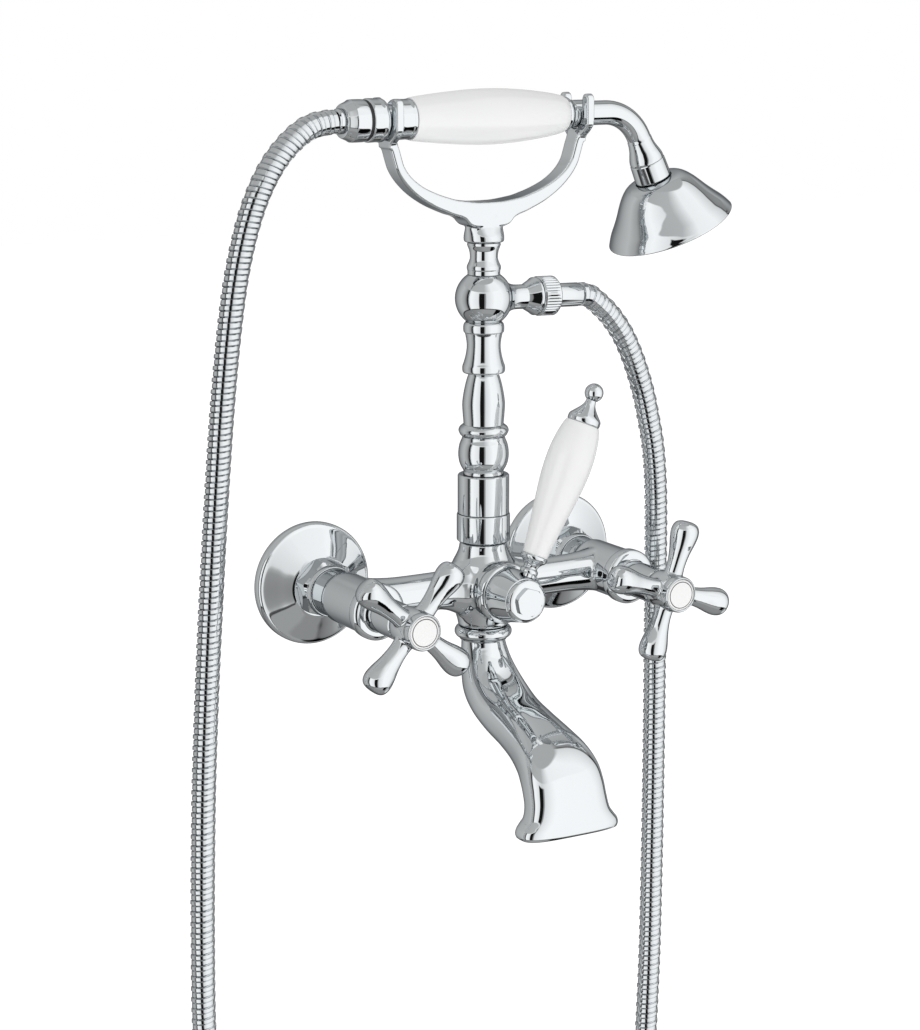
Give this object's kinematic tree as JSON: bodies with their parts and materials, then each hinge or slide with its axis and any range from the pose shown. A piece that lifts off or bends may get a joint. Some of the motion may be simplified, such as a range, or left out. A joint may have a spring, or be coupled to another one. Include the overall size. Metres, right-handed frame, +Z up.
{
  "type": "bath mixer tap",
  "caption": "Wall-mounted bath mixer tap with cross handles, a swivel spout, a lever diverter, and a hand shower with a porcelain grip in a cradle on a turned riser",
  "frame": {"origin": "on the wall's face, midway between the two wall studs", "axes": "+X to the right along the wall, -Y out of the wall towards the user, +Z up; the inlets and the valves lie 8 mm below the studs"},
  "size_m": [0.3146, 0.1584, 0.7262],
  "materials": {
    "chrome": "polished chrome plate",
    "hose_metal": "polished chrome strip wound into ribs",
    "brass": "turned brass",
    "porcelain": "glossy white glaze",
    "index_disc": "glossy white enamel",
    "rubber_seal": "matt",
    "fibre_washer": "pressed fibre"
  },
  "bodies": {
    "mixer": {"wall_union_left": "brass", "wall_union_right": "brass", "rosette_left": "chrome", "rosette_right": "chrome", "coupling_nut_left": "chrome", "coupling_nut_right": "chrome", "inlet_washers": "fibre_washer", "mixer_body": "chrome", "hot_headwork": "brass", "cold_headwork": "brass", "hot_bonnet": "chrome", "cold_bonnet": "chrome", "diverter_cartridge": "brass", "diverter_ring": "chrome", "riser_collar": "chrome", "riser_o_rings": "rubber_seal", "riser_sleeve": "chrome", "riser_column": "chrome", "outlet_tee": "chrome", "cradle_neck": "chrome", "hose_washer": "rubber_seal", "hose_nut": "chrome", "hose_ferrule": "chrome", "shower_hose": "hose_metal", "spout_ring": "chrome"},
    "hot_handle": {"hot_spindle": "brass", "hot_handle": "chrome", "hot_screw": "brass", "hot_index_ring": "chrome", "hot_index": "index_disc"},
    "cold_handle": {"cold_spindle": "brass", "cold_handle": "chrome", "cold_screw": "brass", "cold_index_ring": "chrome", "cold_index": "index_disc"},
    "diverter_lever": {"diverter_spindle": "brass", "diverter_drum": "chrome", "diverter_cap": "chrome", "lever_rod": "chrome", "lever_ferrule": "chrome", "lever_grip": "porcelain", "lever_finial": "chrome"},
    "spout": {"spout": "chrome", "spout_o_rings": "rubber_seal"},
    "cradle": {"cradle": "chrome"},
    "handset": {"handset_hose_ferrule": "chrome", "handset_hose_nut": "chrome", "handset_o_ring": "rubber_seal", "handset_nut": "chrome", "handset_tube": "chrome", "grip_end_cap": "chrome", "handset_grip": "porcelain", "grip_front_cap": "chrome", "handset_neck": "chrome", "rose_nut": "chrome", "rose": "chrome", "rose_gasket": "rubber_seal", "spray_plate": "chrome"}
  },
  "joints": [
    {"name": "hot_valve_turn", "type": "hinge", "parent": "mixer", "child": "hot_handle", "pos_m": [-0.075, -0.11, -0.008], "axis": [0, -1, 0], "range_deg": [0, 90]},
    {"name": "cold_valve_turn", "type": "hinge", "parent": "mixer", "child": "cold_handle", "pos_m": [0.075, -0.11, -0.008], "axis": [0, -1, 0], "range_deg": [0, 90]},
    {"name": "diverter_turn", "type": "hinge", "parent": "mixer", "child": "diverter_lever", "pos_m": [0, -0.0866, -0.008], "axis": [0, -1, 0], "range_deg": [0, 60]},
    {"name": "spout_swivel", "type": "hinge", "parent": "mixer", "child": "spout", "pos_m": [0, -0.0512, -0.03], "axis": [0, 0, 1], "range_deg": [-45, 45]},
    {"name": "cradle_swivel", "type": "hinge", "parent": "mixer", "child": "cradle", "pos_m": [0, -0.0512, 0.165], "axis": [0, 0, 1], "range_deg": [-40, 40]},
    {"name": "handset_lift", "type": "slide", "parent": "cradle", "child": "handset", "axis": [0, 0, 1], "range_m": [0, 0.06]}
  ]
}
